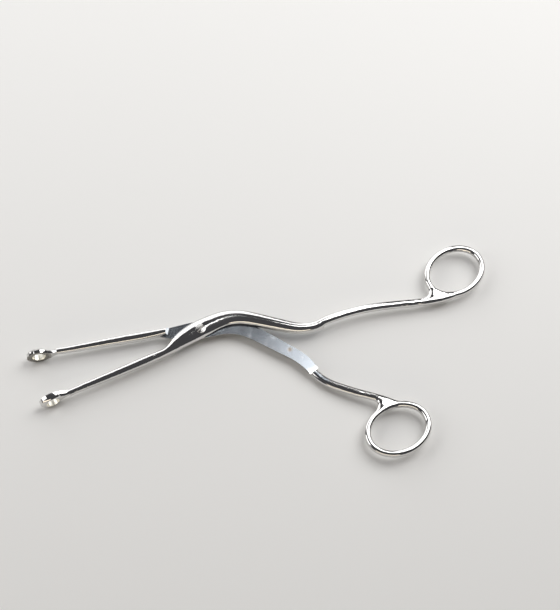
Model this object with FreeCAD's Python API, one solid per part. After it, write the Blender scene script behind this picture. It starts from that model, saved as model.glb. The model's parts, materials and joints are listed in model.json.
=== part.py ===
"""Angled catheter forceps: two forged arms on one slotted pivot screw.

Millimetres. Each arm is first drawn as it lies with the jaws shut: the pivot is the
origin, the jaws run along -X and meet on the plane y = 0, and the arms lap on z = 0.
The upper arm then turns one way and the lower arm the other by half the opening angle,
and the pair is set down with the middle of its box over the origin.
"""
import FreeCAD, Part
import math
import os

V = FreeCAD.Vector
ORIGIN = V(0, 0, 0)
X_AXIS = V(1, 0, 0)
Z_AXIS = V(0, 0, 1)

# Pose drawn
open_angle = 16.5            # between the two arms, 0 is shut

# Clearances
lap_gap = 0.04               # between the two ground flats
bore_fit = 0.04              # radial, screw barrel in the upper arm
head_fit = 0.08              # radial, screw head in its counterbore
seat_gap = 0.03              # under the screw head
thread_fit = 0.01            # radial, screw thread in the lower arm
jaw_gap = 0.10               # between the two gripping faces when shut

# Jaw loops
tip_reach = 93.5             # pivot to the end of the jaw
loop_half_length = 6.0
loop_half_height = 4.85
loop_thickness = 3.3
loop_round = 1.35            # rounding of the loop's back
window_half_length = 3.55
window_half_height = 3.35
window_set_back = 0.4        # window centre behind the loop centre
tooth_pitch = 0.82
tooth_depth = 0.32
tooth_count = 14

# Shoulder from loop to neck: distance behind the tip, inner face, full height, thickness
shoulder_stations = [
    (8.0, 0.05, 8.6, 3.1),
    (11.5, 0.05, 6.2, 3.1),
    (13.9, 0.35, 3.8, 2.8),
    (15.9, 0.80, 2.9, 2.3),
    (17.5, 0.85, 2.9, 2.3),
]

# Jaw shank: share of the way from neck to root, offset from the closing plane, width, height
shank_stations = [
    (0.00, 1.95, 3.3, 3.5),
    (0.12, 2.05, 3.6, 3.8),
    (0.35, 2.40, 4.2, 4.4),
    (0.59, 2.70, 4.7, 4.9),
    (0.78, 2.85, 4.6, 5.3),
    (0.89, 3.05, 3.9, 5.6),
    (1.00, 3.25, 3.4, 5.9),
]
neck_set_back = 16.1         # tip to the small step where the shank begins
shank_root = 14.0            # pivot to the buried end of the shank
shank_square = 2.4           # 2 is a true oval, more is squarer
riser_inner = (-19.8, 0.0)   # top of the riser: the shank's full thickness
riser_outer = (-16.9, 7.0)   # stops on the line through these two points
riser_run = 1.2              # how far the riser slopes out down to the lap plane
riser_drop = 2.8             # over this height

# Lap plates
plate_thickness = 3.7
plate_square = 2.7           # 2 is a true dome, more is flatter on top
relief_run = 2.0             # shallow bevel across the handle end of each ground flat
relief_drop = 0.45

# Plate on the jaw side: x, outer edge, inner edge, thickness
flare_stations = [
    (-24.0, 4.70, 1.50, 2.20),
    (-20.0, 4.85, 0.0, 2.85),
    (-15.0, 4.75, -2.90, 3.30),
    (-10.0, 4.50, -4.80, 3.55),
    (-5.0, 4.25, -6.00, 3.70),
]
lower_flare_stations = [
    (-24.0, 4.70, 1.50, 2.20),
    (-20.0, 4.95, 0.20, 2.85),
    (-15.0, 5.40, -1.90, 3.30),
    (-10.0, 5.90, -3.20, 3.55),
    (-5.0, 6.35, -3.80, 3.70),
]

# Plate past the pivot, shared by both arms: centre x, centre y, heading, width
lap_stations = [
    (0.5, 1.30, 0.0, 10.6),
    (6.5, 1.40, -2.0, 10.3),
    (11.3, 1.25, -6.0, 9.8),
    (15.2, 0.70, -13.0, 9.4),
    (19.3, -0.55, -22.0, 8.9),
    (23.5, -2.75, -32.0, 8.4),
    (27.8, -5.90, -40.0, 8.0),
    (32.8, -10.15, -42.5, 7.6),
    (39.6, -16.10, -42.5, 7.1),
    (44.3, -20.10, -42.0, 6.7),
]

# Plate ends, where the arms part: centre x, centre y, heading, width
upper_end_stations = [
    (49.3, -23.35, -30.0, 6.0),
    (54.6, -25.10, -8.0, 5.5),
    (60.0, -25.30, 0.0, 5.3),
]
lower_end_stations = [
    (49.0, -24.60, -49.0, 6.4),
    (52.6, -29.40, -57.0, 5.9),
    (55.2, -34.20, -60.0, 5.5),
]

# Rods: centre x, centre y, height of the centre over the lap plane, width, height
upper_rod_stations = [
    (53.5, -24.90, 1.75, 3.4, 2.6),
    (57.5, -25.30, 1.95, 4.3, 3.5),
    (63.0, -25.20, 2.00, 4.8, 4.0),
    (71.0, -25.80, 1.75, 4.7, 4.1),
    (82.0, -27.40, 1.25, 4.6, 4.1),
    (93.0, -30.20, 0.70, 4.5, 4.1),
    (103.5, -33.70, 0.25, 4.4, 4.1),
    (114.0, -37.50, 0.0, 4.3, 4.1),
    (124.0, -40.60, 0.0, 4.0, 4.0),
    (133.5, -41.80, 0.0, 3.4, 3.7),
]
lower_rod_stations = [
    (52.4, -29.20, -1.75, 3.4, 2.6),
    (54.6, -33.10, -1.95, 4.3, 3.5),
    (57.6, -37.70, -2.00, 4.8, 4.0),
    (62.2, -42.30, -1.75, 4.7, 4.1),
    (69.5, -47.20, -1.25, 4.6, 4.1),
    (77.0, -51.60, -0.70, 4.5, 4.1),
    (83.5, -55.00, -0.25, 4.4, 4.1),
    (89.5, -58.40, 0.0, 4.1, 4.0),
    (95.3, -61.60, 0.0, 3.4, 3.7),
]
rod_square = 2.2

# Finger rings: mean ellipse, bar section, turn of the long axis, and where the rod joins
ring_half_long = 16.7
ring_half_short = 13.3
ring_width = 3.5
ring_height = 3.9
upper_ring_turn = 15.0
upper_ring_join = 234.0
lower_ring_turn = 20.0
lower_ring_join = 60.0

# Webs between rod and ring: where the hollow edge leaves the rod and turns, as a place along
# the rod's stations, and how far round the ring from the join it ends, in degrees
upper_hollow = (6.8, 7.8, -62.0)
lower_hollow = (6.0, 6.8, 46.0)
hollow_width = 3.3           # rounded bar along the hollow edge
hollow_height = 3.6
web_thickness = 3.3

# Pivot screw
head_diameter = 5.3
head_height = 1.35
head_crown = 0.22
head_proud = 0.12
barrel_diameter = 4.2
thread_diameter = 3.4
slot_width = 0.75
slot_depth = 0.7
slot_turn = 42.0
point_chamfer = 0.3


def squircle(angle, power):
    """Point on a unit superellipse at the given angle in radians."""
    c = math.cos(angle)
    s = math.sin(angle)
    across = math.copysign(abs(c) ** (2 / power), c)
    up = math.copysign(abs(s) ** (2 / power), s)
    return across, up


def level_normal(heading):
    """Unit vector to the left of a heading, in the lap plane."""
    turn = math.radians(heading)
    return V(-math.sin(turn), math.cos(turn), 0)


def even_steps(count):
    """Evenly spaced parameters, so that the sections of a loft match."""
    return [float(step) for step in range(count)]


def oval_wire(centre, heading, width, height, power):
    """Closed section across a path, width level and height upright."""
    left = level_normal(heading)
    points = []
    for step in range(12):
        across, up = squircle(math.radians(30 * step + 15), power)
        points.append(centre + left * (across * width / 2) + Z_AXIS * (up * height / 2))
    curve = Part.BSplineCurve()
    curve.interpolate(Points=points, PeriodicFlag=True, Parameters=even_steps(13))
    return Part.Wire([curve.toShape()])


def arch_wire(start, end, rise, power):
    """Section with one flat from start to end and an arch of the given rise over it."""
    middle = (start + end) * 0.5
    half = (start - end) * 0.5
    points = []
    for step in range(13):
        across, up = squircle(math.radians(15 * step), power)
        points.append(middle + half * across + rise * up)
    curve = Part.BSplineCurve()
    curve.interpolate(Points=points, Parameters=even_steps(13))
    return Part.Wire([curve.toShape(), Part.makeLine(points[-1], points[0])])


def headings(stations):
    """Heading in degrees at each station of a smooth path through their centres."""
    path = Part.BSplineCurve()
    path.interpolate(Points=[V(s[0], s[1], 0) for s in stations])
    result = []
    for s in stations:
        tangent = path.tangent(path.parameter(V(s[0], s[1], 0)))[0]
        result.append(math.degrees(math.atan2(tangent.y, tangent.x)))
    return result


def jaw():
    """Loop, shoulder and shank of the upper arm, on the -y side, drawn with y as depth."""
    loop_x = -(tip_reach - loop_half_length)
    oval = Part.Ellipse(ORIGIN, loop_half_length, loop_half_height).toShape()
    window = Part.Ellipse(ORIGIN, window_half_length, window_half_height).toShape()
    for edge in (oval, window):
        edge.rotate(ORIGIN, X_AXIS, 90)
    oval.translate(V(loop_x, -jaw_gap / 2, 0))
    window.translate(V(loop_x + window_set_back, 1, 0))
    blank = Part.Face(Part.Wire([oval])).extrude(V(0, -loop_thickness, 0))
    back = [e for e in blank.Edges if e.CenterOfMass.y < -loop_thickness * 0.9 and len(e.Vertexes) < 2]
    blank = blank.makeFillet(loop_round, back)

    shoulder_wires = []
    for set_back, inner, height, thickness in shoulder_stations:
        top = V(set_back - tip_reach, -inner, height / 2)
        bottom = V(set_back - tip_reach, -inner, -height / 2)
        shoulder_wires.append(arch_wire(top, bottom, V(0, -thickness, 0), 2.4))
    shoulder = Part.makeLoft(shoulder_wires, True)

    shank_wires = []
    neck = tip_reach - neck_set_back
    for share, offset, width, height in shank_stations:
        reach = neck + (shank_root - neck) * share
        shank_wires.append(oval_wire(V(-reach, -offset, 0), 0, width, height, shank_square))
    shank = Part.makeLoft(shank_wires, True)

    body = blank.fuse(shoulder).fuse(shank)
    opening = Part.Face(Part.Wire([window])).extrude(V(0, -loop_thickness - 2, 0))
    body = body.cut(opening)
    return body.cut(teeth(loop_x))


def teeth(loop_x):
    """V grooves across the gripping face, as one cutter."""
    cutters = []
    for index in range(tooth_count):
        x = loop_x + (index - (tooth_count - 1) / 2) * tooth_pitch
        half = tooth_pitch * 0.42
        corners = [
            V(x - half, 0, 0),
            V(x + half, 0, 0),
            V(x, -jaw_gap / 2 - tooth_depth, 0),
            V(x - half, 0, 0),
        ]
        groove = Part.Face(Part.makePolygon(corners)).extrude(V(0, 0, 2 * loop_half_height + 2))
        groove.translate(V(0, 0, -loop_half_height - 1))
        cutters.append(groove)
    return Part.makeCompound(cutters)


def riser_block():
    """What is milled off the upper arm's shank below the lap plane, past the sloping riser."""
    floor = lap_gap / 2
    foot = V(riser_run, 0, 0)
    inner = V(riser_inner[0], -riser_inner[1], 0) + foot
    outer = V(riser_outer[0], -riser_outer[1], 0) + foot
    run = outer - inner
    start = inner - run
    end = outer + run
    past = V(4 * shank_root, 0, 0)
    deep = 4 * riser_drop
    corners = [start, end, end + past, start + past, start]
    slope = V(-riser_run * deep / riser_drop, 0, -deep)
    block = Part.Face(Part.makePolygon(corners)).extrude(slope)
    block.translate(V(0, 0, floor))
    return block


def plate(flare, ends, side):
    """Half-thickness lap plate; side is 1 above the lap plane and -1 below it."""
    base = side * lap_gap / 2
    wires = []
    for x, outer, inner, thickness in flare:
        start = V(x, -side * outer, base)
        end = V(x, -side * inner, base)
        if side > 0:
            start, end = end, start
        wires.append(arch_wire(start, end, V(0, 0, side * thickness), plate_square))
    for x, y, heading, width in lap_stations + ends:
        left = level_normal(heading) * (width / 2)
        centre = V(x, y, base)
        rise = V(0, 0, side * plate_thickness)
        wires.append(arch_wire(centre + left, centre - left, rise, plate_square))
    return Part.makeLoft(wires, True)


def end_relief(ends, side):
    """Wedge taken off the handle end of a ground flat."""
    x, y, heading, width = ends[-1]
    left = level_normal(heading)
    ahead = left.cross(Z_AXIS)
    end = V(x, y, side * lap_gap / 2)
    into = Z_AXIS * (side * relief_drop)
    clear = Z_AXIS * (-side * plate_thickness)
    corners = [end - ahead * relief_run, end + into, end + clear, end - ahead * relief_run + clear]
    corners = [corner - left * width for corner in corners]
    profile = Part.makePolygon(corners + corners[:1])
    return Part.Face(profile).extrude(left * (2 * width))


def rod(stations):
    """Rod of oval section along a smooth path."""
    wires = []
    for station, heading in zip(stations, headings(stations)):
        x, y, z, width, height = station
        wires.append(oval_wire(V(x, y, z), heading, width, height, rod_square))
    return Part.makeLoft(wires, True)


def ring(centre, turn):
    """Finger ring: oval bar swept round an ellipse."""
    path = Part.Ellipse(ORIGIN, ring_half_long, ring_half_short).toShape()
    start = V(ring_half_long, 0, 0)
    section = oval_wire(start, 90, ring_width, ring_height, rod_square)
    bar = Part.Wire([path]).makePipeShell([section], True, False)
    bar.rotate(ORIGIN, Z_AXIS, turn)
    bar.translate(centre)
    return bar


def ring_point(centre, turn, angle):
    """Point on a ring's mean ellipse."""
    t = math.radians(angle)
    point = V(ring_half_long * math.cos(t), ring_half_short * math.sin(t), 0)
    turned = FreeCAD.Rotation(Z_AXIS, turn).multVec(point)
    return centre + turned


def ring_centre(stations, turn, join):
    """Middle of the ring whose mean ellipse passes through the end of the rod."""
    x, y, z, width, height = stations[-1]
    return V(x, y, z) - ring_point(ORIGIN, turn, join)


def rod_point(stations, place, side):
    """Level point beside the rod's middle line. Place counts stations; side is a share of the half width."""
    index = int(place)
    share = place - index
    points = []
    for station, heading in list(zip(stations, headings(stations)))[index:index + 2]:
        x, y, z, width, height = station
        points.append(V(x, y, 0) + level_normal(heading) * (side * width / 2))
    return points[0] + (points[1] - points[0]) * share


def web(stations, centre, turn, join, hollow, side):
    """Rounded bar along the hollow edge between rod and ring, with a thinner web behind it."""
    leave, bend, round_ring = hollow
    meet = join + round_ring
    edge = Part.BezierCurve()
    corner = rod_point(stations, bend, side * 0.3)
    edge.setPoles([rod_point(stations, leave, 0), corner, ring_point(centre, turn, meet)])
    bar_stations = []
    for step in range(7):
        point = edge.value(step / 6)
        bar_stations.append((point.x, point.y, 0, hollow_width, hollow_height))
    outline = [edge.value(step / 6) for step in range(7)]
    for step in range(1, 7):
        outline.append(ring_point(centre, turn, meet - round_ring * step / 6))
    outline.append(outline[0])
    fill = Part.Face(Part.makePolygon(outline)).extrude(V(0, 0, web_thickness))
    fill.translate(V(0, 0, -web_thickness / 2))
    return rod(bar_stations), fill


def screw_top():
    """Height of the upper arm's surface at the pivot."""
    x, y, heading, width = lap_stations[0]
    across = min(abs(y) / (width / 2), 1.0)
    rise = (1 - across ** plate_square) ** (1 / plate_square)
    return lap_gap / 2 + plate_thickness * rise


def handle(stations, turn, join, hollow, side):
    """Rod, ring and the web between them."""
    centre = ring_centre(stations, turn, join)
    parts = [rod(stations), ring(centre, turn)]
    parts.extend(web(stations, centre, turn, join, hollow, side))
    return parts


def upper_arm():
    body = jaw().cut(riser_block())
    parts = [plate(flare_stations, upper_end_stations, 1)]
    parts += handle(upper_rod_stations, upper_ring_turn, upper_ring_join, upper_hollow, 1)
    for part in parts:
        body = body.fuse(part)
    body = body.cut(end_relief(upper_end_stations, 1))
    seat = screw_top() + head_proud - head_height - seat_gap
    depth = 4 * plate_thickness
    bore = Part.makeCylinder(barrel_diameter / 2 + bore_fit, depth, V(0, 0, -depth / 2))
    sink = Part.makeCylinder(head_diameter / 2 + head_fit, depth, V(0, 0, seat))
    return body.cut(bore.fuse(sink))


def lower_arm():
    body = jaw().cut(riser_block())
    body.rotate(ORIGIN, X_AXIS, 180)
    parts = [plate(lower_flare_stations, lower_end_stations, -1)]
    parts += handle(lower_rod_stations, lower_ring_turn, lower_ring_join, lower_hollow, -1)
    for part in parts:
        body = body.fuse(part)
    body = body.cut(end_relief(lower_end_stations, -1))
    depth = 4 * plate_thickness
    return body.cut(Part.makeCylinder(thread_diameter / 2 + thread_fit, depth, V(0, 0, -depth / 2)))


def pivot_screw():
    top = screw_top() + head_proud
    under = top - head_height
    end = -lap_gap / 2 - plate_thickness
    head_r = head_diameter / 2
    profile = [
        V(0, 0, end),
        V(thread_diameter / 2 - point_chamfer, 0, end),
        V(thread_diameter / 2, 0, end + point_chamfer),
        V(thread_diameter / 2, 0, 0),
        V(barrel_diameter / 2, 0, 0),
        V(barrel_diameter / 2, 0, under),
        V(head_r, 0, under),
        V(head_r, 0, top - head_crown),
    ]
    edges = [Part.makeLine(p, q) for p, q in zip(profile, profile[1:])]
    crown_middle = V(head_r * 0.55, 0, top - head_crown * 0.3)
    edges.append(Part.Arc(profile[-1], crown_middle, V(0, 0, top)).toShape())
    edges.append(Part.makeLine(V(0, 0, top), profile[0]))
    body = Part.Face(Part.Wire(edges)).revolve(ORIGIN, Z_AXIS, 360)
    slot = Part.makeBox(head_diameter + 2, slot_width, slot_depth + 1)
    slot.translate(V(-head_diameter / 2 - 1, -slot_width / 2, top - slot_depth))
    slot.rotate(ORIGIN, Z_AXIS, slot_turn)
    return body.cut(slot)


def main():
    nodes = {
        "upper_arm": upper_arm(),
        "lower_arm": lower_arm(),
        "pivot_screw": pivot_screw(),
    }
    turns = {
        "upper_arm": open_angle / 2,
        "lower_arm": -open_angle / 2,
        "pivot_screw": -open_angle / 2,
    }
    box = FreeCAD.BoundBox()
    for name, shape in nodes.items():
        shape.rotate(ORIGIN, Z_AXIS, turns[name])
        box.add(shape.optimalBoundingBox(True, False))
    shift = V(-box.Center.x, -box.Center.y, -box.ZMin)
    os.makedirs("parts", exist_ok=True)
    for name, shape in nodes.items():
        shape.translate(shift)
        solids = shape.Solids
        shape = solids[0] if len(solids) == 1 else shape
        print(name, "solids", len(solids), "valid", shape.isValid(), "volume", round(shape.Volume, 1))
        shape.exportStep("parts/%s.step" % name)
    print("pivot at", shift, "box", box)


main()
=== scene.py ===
# %% [markdown]
# # Angled forceps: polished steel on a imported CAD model
# The forceps is three pieces of steel: two forged arms and the slotted screw on which they turn. The CAD
# model holds their true shapes, so Blender is used here for what CAD can't say: how bright, how smooth and
# how worn each face is, and what the mirror finish has to reflect. A mirror has no colour of its own, so
# the lamps and the floor are as much a part of the finish as the shader is.

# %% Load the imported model
import json
import math
import bmesh
import bpy
import numpy as np
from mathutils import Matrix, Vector


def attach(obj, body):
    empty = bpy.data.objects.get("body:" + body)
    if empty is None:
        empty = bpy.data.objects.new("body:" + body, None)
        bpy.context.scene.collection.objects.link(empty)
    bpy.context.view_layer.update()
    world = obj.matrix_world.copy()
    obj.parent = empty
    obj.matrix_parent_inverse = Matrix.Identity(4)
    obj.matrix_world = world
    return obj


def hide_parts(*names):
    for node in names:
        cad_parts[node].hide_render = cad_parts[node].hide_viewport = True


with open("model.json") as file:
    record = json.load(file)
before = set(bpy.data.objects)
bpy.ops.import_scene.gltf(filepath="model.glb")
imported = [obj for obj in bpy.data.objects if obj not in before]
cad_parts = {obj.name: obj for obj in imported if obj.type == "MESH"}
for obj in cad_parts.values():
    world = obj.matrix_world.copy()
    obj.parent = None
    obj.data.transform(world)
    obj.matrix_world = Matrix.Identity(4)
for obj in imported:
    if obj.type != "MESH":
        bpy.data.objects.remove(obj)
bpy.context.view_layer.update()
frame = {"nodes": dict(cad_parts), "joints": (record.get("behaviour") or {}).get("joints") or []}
nodes = frame["nodes"]
pivot = Vector(frame["joints"][0]["pos_m"])
lap_plane = pivot.z
mm = 0.001
print("pivot", [round(v, 4) for v in pivot])

# %% [markdown]
# ## Camera
# The picture was taken from high over the table, 60 degrees above it, with a fairly long lens, because the
# two arms show nearly no difference in scale. The camera is placed by the point it looks at, its distance
# and its two angles, which is easier to adjust than a bare position.

# %% Camera
look_at = Vector((0.01127, 0.0452, lap_plane))
camera_distance = 0.813
camera_elevation = math.radians(60)
camera_azimuth = math.radians(-18.66)
focal_pixels = 1500
picture_long_side = 610


def outward(azimuth, elevation):
    """Unit vector towards something seen at this compass angle and height, both in radians."""
    level = math.cos(elevation)
    return Vector((math.sin(azimuth) * level, -math.cos(azimuth) * level, math.sin(elevation)))


back = outward(camera_azimuth, camera_elevation)
lens = bpy.data.cameras.new("camera")
lens.sensor_width = 36
lens.lens = focal_pixels * lens.sensor_width / picture_long_side
lens.clip_start = 0.01
lens.clip_end = 20
camera = bpy.data.objects.new("camera", lens)
camera.location = look_at + back * camera_distance
camera.rotation_euler = (-back).to_track_quat("-Z", "Y").to_euler()
bpy.context.scene.collection.objects.link(camera)
bpy.context.scene.camera = camera
print("camera at", [round(v, 3) for v in camera.location])

# %% [markdown]
# ## The polisher's hand: easing the forged joins
# On the real arm the bow, its web and the rod are one forging. The polisher runs them over a soft wheel
# until no line shows where one form meets the next, while the ground flats, the teeth and the screw seat
# keep crisp edges. The CAD solid has the forms but meets them in sharp inside corners. Modelling the arm
# again would lose its exact fit at the lap, so a copy of the CAD mesh is taken instead. Its long edges are
# divided first, so that a fillet has points to bend. Then the inside corners near a join are relaxed, most
# at the corner itself and less in each ring of points round it. Only points above the join's named place
# take part, which keeps the easing off the lap faces, where it would meet the other arm.

# %% Ease the inside corners of a join
longest_edge = 0.6 * mm
divisions = 2
inside_corner = math.radians(-7)
rings_eased = 5
passes_each_ring = 5
relax = {"factor": 0.5, "use_axis_x": True, "use_axis_y": True, "use_axis_z": True}


def near(mesh, place, reach):
    """The vertices within reach of a place, seen from above, and higher than it."""
    return {v for v in mesh.verts if v.co.z > place.z and (v.co.xy - place.xy).length < reach}


def divide_long_edges(mesh):
    """Halves every edge that is too long, a bounded number of times, and keeps the faces triangles."""
    for _ in range(divisions):
        long_edges = [e for e in mesh.edges if e.calc_length() > longest_edge]
        bmesh.ops.subdivide_edges(mesh, edges=long_edges, cuts=1)
        bmesh.ops.triangulate(mesh, faces=[f for f in mesh.faces if len(f.verts) > 3])


def ease_join(mesh, place, reach):
    """Relaxes the inside corners near a place and returns how many points lie in them."""
    chosen = near(mesh, place, reach)
    corner = set()
    for edge in mesh.edges:
        if len(edge.link_faces) == 2 and edge.verts[0] in chosen and edge.verts[1] in chosen:
            if edge.calc_face_angle_signed() < inside_corner:
                corner.update(edge.verts)
                edge.smooth = True
    grown = [corner]
    for _ in range(rings_eased):
        wider = set(grown[-1])
        for vertex in grown[-1]:
            wider.update(e.other_vert(vertex) for e in vertex.link_edges)
        grown.append(wider & chosen)
    for ring in reversed(grown):
        for _ in range(passes_each_ring):
            bmesh.ops.smooth_vert(mesh, verts=list(ring), **relax)
    return len(corner)


print("inside corners over", -round(math.degrees(inside_corner)), "degrees are eased")

# %% [markdown]
# ## Even normals
# A mirror finish shows every unevenness of the surface normal, doubled. The CAD mesh is made of uneven
# triangles, and a normal averaged over few of them wanders by a degree or two, which makes the edge of a
# reflection ragged. Moving points far would change the size of the part, so the normals are averaged with
# their neighbours' along the surface instead, and near neighbours count for more than far ones.

# %% Average the shading normals
normal_passes = 10
normal_reach = 0.6 * mm


def even_normals(data):
    """Averages each vertex normal with its neighbours' a few times and stores the result."""
    count = len(data.vertices)
    normals = np.empty(count * 3)
    data.vertices.foreach_get("normal", normals)
    normals = normals.reshape(count, 3)
    ends = np.empty(len(data.edges) * 2, dtype=np.int64)
    data.edges.foreach_get("vertices", ends)
    first, second = ends.reshape(-1, 2).T
    places = np.empty(count * 3)
    data.vertices.foreach_get("co", places)
    places = places.reshape(count, 3)
    lengths = np.linalg.norm(places[first] - places[second], axis=1)
    share = np.exp(-(lengths / normal_reach) ** 2)[:, None]
    for _ in range(normal_passes):
        total = normals.copy()
        np.add.at(total, first, normals[second] * share)
        np.add.at(total, second, normals[first] * share)
        normals = total / np.linalg.norm(total, axis=1, keepdims=True)
    data.normals_split_custom_set_from_vertices([tuple(n) for n in normals])


print("normals are averaged", normal_passes, "times")

# %% [markdown]
# ## The two arms
# Each arm is shown by a polished copy, which rides on the arm's own body and stands for its CAD node. The
# open edges of the CAD mesh are its crisp ones, so they are marked before the double points are merged.
# After the joins are eased, the points off the crisp edges are relaxed a little, as polishing evens a forged
# skin. The mesh is then split along its crisp edges, so that no averaged normal reaches across one.

# %% Polished copies of the arms
merge_distance = 1e-6
polish_passes = 6


def polished_arm(name, node_name, body, joins):
    """A copy of a CAD arm with its joins eased and its normals evened, which stands for the node."""
    mesh = bmesh.new()
    mesh.from_mesh(nodes[node_name].data)
    for edge in mesh.edges:
        edge.smooth = not edge.is_boundary
    bmesh.ops.remove_doubles(mesh, verts=mesh.verts, dist=merge_distance)
    divide_long_edges(mesh)
    eased = [ease_join(mesh, place, reach) for place, reach in joins]
    free = [v for v in mesh.verts if all(e.smooth for e in v.link_edges)]
    for _ in range(polish_passes):
        bmesh.ops.smooth_vert(mesh, verts=free, **relax)
    bmesh.ops.split_edges(mesh, edges=[e for e in mesh.edges if not e.smooth])
    for face in mesh.faces:
        face.smooth = True
    data = bpy.data.meshes.new(name)
    mesh.to_mesh(data)
    mesh.free()
    even_normals(data)
    piece = bpy.data.objects.new(name, data)
    bpy.context.scene.collection.objects.link(piece)
    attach(piece, body)
    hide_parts(node_name)
    print(name, "corner points eased", eased, "free points", len(free), "faces", len(data.polygons))
    return piece


upper_web = Vector((91.6, 24.7, 0)) * mm
lower_web = Vector((44.5, -27.5, 0)) * mm
upper_shank_root = Vector((-54.5, 40.0, 5.6)) * mm
web_reach = 13 * mm
root_reach = 9 * mm
upper_joins = [(upper_web, web_reach), (upper_shank_root, root_reach)]
lower_joins = [(lower_web, web_reach)]

upper = polished_arm("upper_arm_polished", "upper_arm", "upper", upper_joins)
lower = polished_arm("lower_arm_polished", "lower_arm", "lower", lower_joins)

# %% [markdown]
# ## Shader maths as Python
# Materials are written as sums. Each value is a socket wrapped in a small class whose signs add Math nodes,
# so that a mask times a colour's share reads as it would on paper.

# %% A socket that takes part in sums
class Value:
    """A node's output that takes part in Python arithmetic."""

    def __init__(self, shop, socket):
        self.shop = shop
        self.socket = socket

    def calc(self, operation, *values):
        numbered = dict(enumerate(values))
        return self.shop.node("ShaderNodeMath", {"operation": operation}, numbered)["Value"]

    def __add__(self, other):
        return self.calc("ADD", self, other)

    def __radd__(self, other):
        return self.calc("ADD", other, self)

    def __sub__(self, other):
        return self.calc("SUBTRACT", self, other)

    def __rsub__(self, other):
        return self.calc("SUBTRACT", other, self)

    def __mul__(self, other):
        return self.calc("MULTIPLY", self, other)

    def __rmul__(self, other):
        return self.calc("MULTIPLY", other, self)

    def __abs__(self):
        return self.calc("ABSOLUTE", self)

    def sine(self):
        return self.calc("SINE", self)


print("sums make Math nodes")

# %% [markdown]
# ## The polishing shop
# Every other node comes from one method, which sets the node's options first and then its sockets. What the
# steel needs of them is little: a smooth step between two limits, cloudy noise, a ball-shaped mask round a
# point, and how open a place is. Each is a method too, so that the finishes below read as a polisher's work.

# %% Helpers for shader nodes
corner_samples = 6


class Shop:
    """Makes the nodes of one material."""

    def __init__(self, name):
        self.material = bpy.data.materials.new(name)
        self.material.use_nodes = True
        self.tree = self.material.node_tree
        self.tree.nodes.clear()
        self.place = self.node("ShaderNodeTexCoord")["Object"]
        self.facing = self.node("ShaderNodeNewGeometry")["Normal"]

    def node(self, kind, settings=None, sockets=None):
        """Adds a node. Options go in first, then values or links, and its outputs come back by name."""
        made = self.tree.nodes.new(kind)
        for name, value in (settings or {}).items():
            setattr(made, name, value)
        live = [s for s in made.inputs if s.enabled]
        for key, value in (sockets or {}).items():
            socket = live[key] if isinstance(key, int) else next(s for s in live if s.name == key)
            if isinstance(value, Value):
                self.tree.links.new(value.socket, socket)
            else:
                socket.default_value = value
        return {s.name: Value(self, s) for s in made.outputs if s.enabled}

    def axes(self, vector):
        """X, Y and Z of a vector as three values."""
        parts = self.node("ShaderNodeSeparateXYZ", None, {"Vector": vector})
        return parts["X"], parts["Y"], parts["Z"]

    def mix(self, factor, first, second):
        """Colour between two colours."""
        settings = {"data_type": "RGBA"}
        sockets = {"Factor": factor, "A": first, "B": second}
        return self.node("ShaderNodeMix", settings, sockets)["Result"]

    def step(self, value, low, high):
        """0 at low, 1 at high and smooth between, either way round."""
        if low > high:
            return 1 - self.step(value, high, low)
        settings = {"interpolation_type": "SMOOTHSTEP"}
        sockets = {"Value": value, "From Min": low, "From Max": high}
        return self.node("ShaderNodeMapRange", settings, sockets)["Result"]

    def turned(self, angle, stretch):
        """Object coordinates turned about Z and stretched, for marks that run one way."""
        settings = {"vector_type": "POINT"}
        sockets = {"Vector": self.place, "Rotation": (0, 0, angle), "Scale": stretch}
        return self.node("ShaderNodeMapping", settings, sockets)["Vector"]

    def noise(self, place, scale, detail, roughness=0.5):
        """Cloudy value round 0.5, with about this many clouds to the metre."""
        sockets = {"Vector": place, "Scale": scale, "Detail": detail, "Roughness": roughness}
        return self.node("ShaderNodeTexNoise", None, sockets)["Fac"]

    def within(self, place, centre, radius, soft):
        """1 inside a ball round a point, 0 outside it."""
        settings = {"operation": "DISTANCE"}
        distance = self.node("ShaderNodeVectorMath", settings, {0: place, 1: tuple(centre)})["Value"]
        return self.step(distance, radius + soft, radius - soft)

    def openness(self, reach, own_mesh_only):
        """1 on an open face, and less where other faces crowd in closer than the reach."""
        settings = {"samples": corner_samples, "only_local": own_mesh_only}
        return self.node("ShaderNodeAmbientOcclusion", settings, {"Distance": reach})["AO"]

    def finish(self, colour, rough, relief_height, relief_depth):
        """Bare metal with its relief, through one Bump node."""
        bump = {"Strength": 1.0, "Distance": relief_depth, "Height": relief_height}
        relief = self.node("ShaderNodeBump", None, bump)["Normal"]
        metal = {"Base Color": colour, "Metallic": 1.0, "Roughness": rough, "Normal": relief}
        surface = self.node("ShaderNodeBsdfPrincipled", None, metal)["BSDF"]
        self.node("ShaderNodeOutputMaterial", None, {"Surface": surface})
        return self.material


print("helpers ready")

# %% [markdown]
# ## Where each finish of the arms lies
# One bar of steel carries several finishes. The outside is mirror-polished, the lap faces are ground and
# left satin, the toothed faces of the jaws are dull, and the wall of each jaw's window is painted a pale
# cream that stands in for a bright reflection. All of them are one material whose masks come from where a
# face lies and which way it looks, so nothing has to be cut apart.

# %% Masks of the arms
lap_range = (0.30 * mm, 0.10 * mm)
faces_other_lap = (0.93, 0.97)
faces_other_jaw = (0.55, 0.75)
loop_reach = 7.5 * mm
loop_soft = 0.3 * mm
window_reach = 3.8 * mm
window_soft = 0.15 * mm


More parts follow.
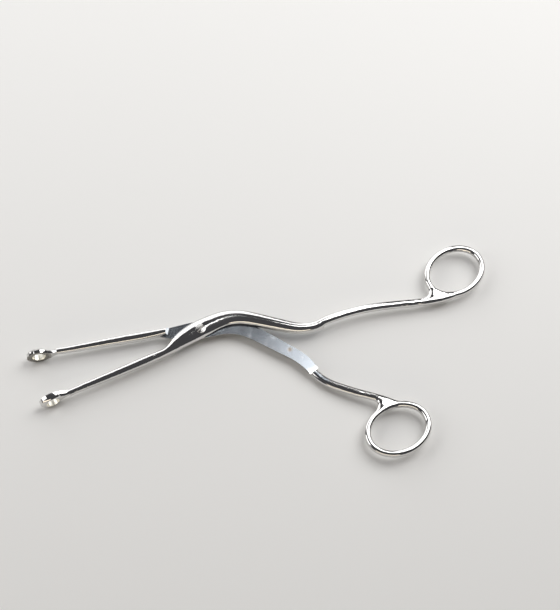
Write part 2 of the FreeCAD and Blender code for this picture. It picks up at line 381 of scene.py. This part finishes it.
def arm_masks(shop, lap_side, jaw_side, loop_centre, window_centre):
    """Three values that are 1 on the ground lap face, on the gripping face and in the window.

    lap_side and jaw_side are 1 or -1: which way the lap face and the gripping face look, along Z and Y.
    """
    height = shop.axes(shop.place)[2]
    _, look_y, look_z = shop.axes(shop.facing)
    level = shop.step(abs(height - lap_plane), *lap_range)
    ground = level * shop.step(look_z * lap_side, *faces_other_lap)
    at_loop = shop.within(shop.place, loop_centre, loop_reach, loop_soft)
    gripping = at_loop * shop.step(look_y * jaw_side, *faces_other_jaw)
    window = shop.within(shop.place, window_centre, window_reach, window_soft)
    return ground, gripping, window


print("the lap faces lie at", round(lap_plane / mm, 2), "mm")

# %% [markdown]
# ## Tones of the arms
# Polished steel is nearly neutral and a little warm. The ground lap faces are painted a darker blue-grey, a
# painted reflection, and the window walls a pale cream, another painted reflection. Paler clouds lie over the
# satin of the lap, and one brown stain. Painted shade darkens the inside corners, the foot of the riser and
# most of all the grooves between the teeth, so it follows how open each place of the arm's own mesh is.

# %% Tones of the arms
bright_tone = (0.70, 0.69, 0.675, 1)
# painted reflection: the ground lap faces get a darker blue-grey that stands in for the reflection on the
# satin
painted_satin_reflection_tone = (0.40, 0.43, 0.465, 1)
clouded_tone = (0.72, 0.74, 0.76, 1)
stain_tone = (0.30, 0.22, 0.12, 1)
grip_tone = (0.30, 0.285, 0.25, 1)
# painted reflection: pale cream on the window walls stands in for a bright reflection
painted_window_reflection_tone = (0.82, 0.79, 0.70, 1)
# painted shade: a near-black brown laid where the arm's faces crowd in
painted_shade_tone = (0.075, 0.055, 0.035, 1)
clouded_share = 0.6
stain_share = 0.8
grip_share = 0.7
clouded_range = (0.50, 0.80)
stained_range = (0.35, 0.60)
stain_place = Vector((7.6 * mm, 17.6 * mm, lap_plane))
stain_reach = 0.9 * mm
stain_soft = 1.3 * mm
# how far and how strongly the painted shade darkens corners and the grooves between the teeth
corner_shade_reach = 1.2 * mm
corner_shade_range = (0.62, 0.28)
corner_shade_share = 0.35
groove_shade_share = 0.65


def arm_painted_shade(shop, gripping):
    """How much painted shade lies at a place: some in every corner, and the most between the teeth."""
    # painted shade, from how open each place of the arm's own mesh is
    corners = shop.step(shop.openness(corner_shade_reach, own_mesh_only=True), *corner_shade_range)
    return corners * (corner_shade_share + groove_shade_share * gripping)


def arm_tone(shop, ground, gripping, window, painted_shade, cloud):
    """The arm's colour, laid on finish by finish."""
    stained = shop.within(shop.place, stain_place, stain_reach, stain_soft) * shop.step(cloud, *stained_range)
    # the ground lap faces take the painted blue-grey reflection
    tone = shop.mix(ground, bright_tone, painted_satin_reflection_tone)
    tone = shop.mix(ground * shop.step(cloud, *clouded_range) * clouded_share, tone, clouded_tone)
    tone = shop.mix(ground * stained * stain_share, tone, stain_tone)
    tone = shop.mix(gripping * grip_share, tone, grip_tone)
    # the window walls take the painted pale cream reflection
    tone = shop.mix(window, tone, painted_window_reflection_tone)
    # the painted shade goes over every finish
    return shop.mix(painted_shade, tone, painted_shade_tone)


print("the lap's stain is at", [round(v, 4) for v in stain_place])

# %% [markdown]
# ## Marks of the arms
# The mirror shows fine wheel marks, haze from handling and a slight waviness, for no hand-polished face is
# truly flat. The lap faces carry fine grinding lines that run one way and a few dents. Each mark is a noise,
# stretched where it runs one way, and the dents are only the highest tops of theirs.

# %% Marks of the arms
haze_scale = 60.0
haze_range = (0.45, 0.75)
wave_scale = 110.0
cloud_scale = 170.0
dent_scale = 520.0
dent_range = (0.70, 0.76)
wheel_scale = 2200.0
wheel_angle = 0.1
wheel_stretch = (0.12, 1.0, 1.0)
grinding_scale = 1600.0
grinding_angle = 0.75
grinding_stretch = (0.05, 1.0, 1.0)


def arm_marks(shop):
    """Haze, waves, clouds, dents, wheel marks and grinding lines as six values."""
    haze = shop.step(shop.noise(shop.place, haze_scale, detail=4.0), *haze_range)
    waves = shop.noise(shop.place, wave_scale, detail=1.0)
    cloud = shop.noise(shop.place, cloud_scale, detail=4.0, roughness=0.6)
    dents = shop.step(shop.noise(shop.place, dent_scale, detail=2.0), *dent_range)
    wheel = shop.noise(shop.turned(wheel_angle, wheel_stretch), wheel_scale, detail=2.0, roughness=0.6)
    along_grinding = shop.turned(grinding_angle, grinding_stretch)
    grinding = shop.noise(along_grinding, grinding_scale, detail=3.0, roughness=0.6)
    return haze, waves, cloud, dents, wheel, grinding


print("wheel marks are about", round(1 / (wheel_scale * mm), 2), "mm wide")

# %% [markdown]
# ## Steel of the arms
# The marks and masks now make one metal. Each adds its share to how rough the steel is or to how high its
# relief stands, and the relief is a hundredth of a millimetre deep, so it bends a reflection and no outline.

# %% Steel of the arms
mirror_roughness = 0.055
haze_roughness = 0.05
wheel_roughness = 0.02
ground_roughness = 0.07
cloud_roughness = 0.09
grip_roughness = 0.22
window_roughness = 0.25
# roughness added where the painted shade lies
painted_shade_roughness = 0.3
wave_relief = 0.25
wheel_relief = 0.008
grinding_relief = 0.10
dent_relief = 0.5
relief_depth = 0.012 * mm


def arm_steel(name, lap_side, jaw_side, loop_centre, window_centre):
    """The whole finish of one arm."""
    shop = Shop(name)
    ground, gripping, window = arm_masks(shop, lap_side, jaw_side, loop_centre, window_centre)
    haze, waves, cloud, dents, wheel, grinding = arm_marks(shop)
    painted_shade = arm_painted_shade(shop, gripping)
    tone = arm_tone(shop, ground, gripping, window, painted_shade, cloud)

    rough = mirror_roughness + haze_roughness * haze + wheel_roughness * wheel
    rough = rough + ground * (ground_roughness + cloud_roughness * cloud)
    # the painted shade is also made rougher
    rough = rough + gripping * grip_roughness + window * window_roughness + painted_shade * painted_shade_roughness
    relief = waves * wave_relief + wheel * wheel_relief
    relief = relief + ground * grinding * grinding_relief - dents * ground * dent_relief
    return shop.finish(tone, rough, relief, relief_depth)


upper_loop = Vector((-120.8 * mm, 28.9 * mm, lap_plane))
lower_loop = Vector((-120.8 * mm, 57.4 * mm, lap_plane))
upper_window = Vector((-120.12 * mm, 28.96 * mm, lap_plane))
lower_window = Vector((-120.12 * mm, 57.32 * mm, lap_plane))
for piece, node_name, lap_side, jaw_side, loop_centre, window_centre in (
    (upper, "upper_arm", -1, 1, upper_loop, upper_window),
    (lower, "lower_arm", 1, -1, lower_loop, lower_window),
):
    steel = arm_steel("steel_" + node_name, lap_side, jaw_side, loop_centre, window_centre)
    piece.data.materials.append(steel)
    print(piece.name, "is finished in", steel.name)

# %% [markdown]
# ## Screw
# The screw is turned on a lathe, so its head has faint rings round the axis under its polish. Painted shade
# darkens the slot. The CAD mesh is right as it is, so only the material in its slots is changed. The painted
# shade here follows every face near the screw, the arms' too, and so it also lies round the head.

# %% Screw finish
screw_tone = (0.60, 0.59, 0.57, 1)
ring_pitch = 0.16 * mm
screw_cloud_scale = 900.0
# how far and how strongly the painted shade darkens the slot and round the head
screw_shade_reach = 0.8 * mm
screw_shade_range = (0.75, 0.35)
screw_shade_share = 0.9
screw_roughness = 0.14
screw_cloud_roughness = 0.10
ring_relief = 0.2
screw_cloud_relief = 0.5


def distance_from_axis(shop):
    """How far a place is from the hinge's axis, which stands upright."""
    from_pivot = {0: shop.place, 1: tuple(pivot)}
    centred = shop.node("ShaderNodeVectorMath", {"operation": "SUBTRACT"}, from_pivot)["Vector"]
    x, y, _ = shop.axes(centred)
    flat = shop.node("ShaderNodeCombineXYZ", None, {"X": x, "Y": y})["Vector"]
    return shop.node("ShaderNodeVectorMath", {"operation": "LENGTH"}, {0: flat})["Value"]


def screw_steel():
    """Turned steel with painted shade in the slot and round the head."""
    shop = Shop("steel_pivot_screw")
    rings = (distance_from_axis(shop) * (2 * math.pi / ring_pitch)).sine()
    # painted shade: darker where faces of the screw or of the arms crowd in
    painted_shade = shop.step(shop.openness(screw_shade_reach, own_mesh_only=False), *screw_shade_range)
    cloud = shop.noise(shop.place, screw_cloud_scale, detail=3.0)
    # the painted shade goes over the screw's steel
    tone = shop.mix(painted_shade * screw_shade_share, screw_tone, painted_shade_tone)
    rough = screw_roughness + screw_cloud_roughness * cloud + painted_shade * painted_shade_roughness
    relief = rings * ring_relief + cloud * screw_cloud_relief
    return shop.finish(tone, rough, relief, relief_depth)


screw_finish = screw_steel()
for slot in nodes["pivot_screw"].material_slots:
    slot.material = screw_finish
print("the screw is finished in", screw_finish.name)

# %% [markdown]
# ## Floor
# A plain pale sheet of paper, which isn't part of the forceps. It reaches well past the picture, and it is
# dull, so that it shows soft shadows and no image of the lamps.

# %% Floor
floor_half = 2.0
paper_tone = (0.80, 0.79, 0.77, 1)
paper_roughness = 0.8

sheet = bmesh.new()
bmesh.ops.create_grid(sheet, x_segments=1, y_segments=1, size=floor_half)
floor_mesh = bpy.data.meshes.new("floor")
sheet.to_mesh(floor_mesh)
sheet.free()
floor = bpy.data.objects.new("floor", floor_mesh)
bpy.context.scene.collection.objects.link(floor)
paper_shop = Shop("floor_paper")
paper_sockets = {"Base Color": paper_tone, "Roughness": paper_roughness}
paper = paper_shop.node("ShaderNodeBsdfPrincipled", None, paper_sockets)["BSDF"]
paper_shop.node("ShaderNodeOutputMaterial", None, {"Surface": paper})
floor_mesh.materials.append(paper_shop.material)
print("floor", 2 * floor_half, "m wide")

# %% [markdown]
# ## Lamps
# A mirror shows its room, so the lamps are placed by what the steel has to reflect. The camera looks down
# from the front. A level face seen at the pivot sends its view up and back, a little to the right. The key
# is a large soft box at the back on the right: the handles' flats and bows see it whole, while level faces
# near the pivot look just past its edge. A second, low box behind the forceps draws the bright line along
# the far side of the bars. A weaker box low on the left lights the faces that look that way, and a weak,
# long, warm one low in front tints the near sides. The room itself is dark, which gives the black bands that
# make steel look like steel.

# %% Lamps
room_tone = (0.07, 0.07, 0.075, 1)
warm_light = (1, 0.9, 0.75)
lamp_distance = 0.9

world = bpy.data.worlds.new("room")
bpy.context.scene.world = world
world.use_nodes = True
world.node_tree.nodes["Background"].inputs["Color"].default_value = room_tone


def soft_box(name, azimuth, elevation, width, height, power, colour=(1, 1, 1)):
    """Area lamp aimed at the frame's origin. Azimuth 0 is in front, and 90 is on the right."""
    out = outward(math.radians(azimuth), math.radians(elevation))
    lamp = bpy.data.lights.new(name, "AREA")
    lamp.shape = "RECTANGLE"
    lamp.size = width
    lamp.size_y = height
    lamp.energy = power
    lamp.color = colour
    made = bpy.data.objects.new(name, lamp)
    made.location = out * lamp_distance
    made.rotation_euler = (-out).to_track_quat("-Z", "Y").to_euler()
    bpy.context.scene.collection.objects.link(made)


soft_box("key", azimuth=115, elevation=50, width=0.66, height=0.85, power=6.4)
soft_box("back_low", azimuth=186, elevation=26, width=0.95, height=0.78, power=4.2)
soft_box("left_low", azimuth=250, elevation=30, width=0.55, height=0.6, power=2.2)
soft_box("warm_low", azimuth=-30, elevation=16, width=1.1, height=0.3, power=1.6, colour=warm_light)

# %% [markdown]
# ## View settings
# The Standard view shows colours as they are written.

# %% Finish
bpy.context.scene.view_settings.view_transform = "Standard"
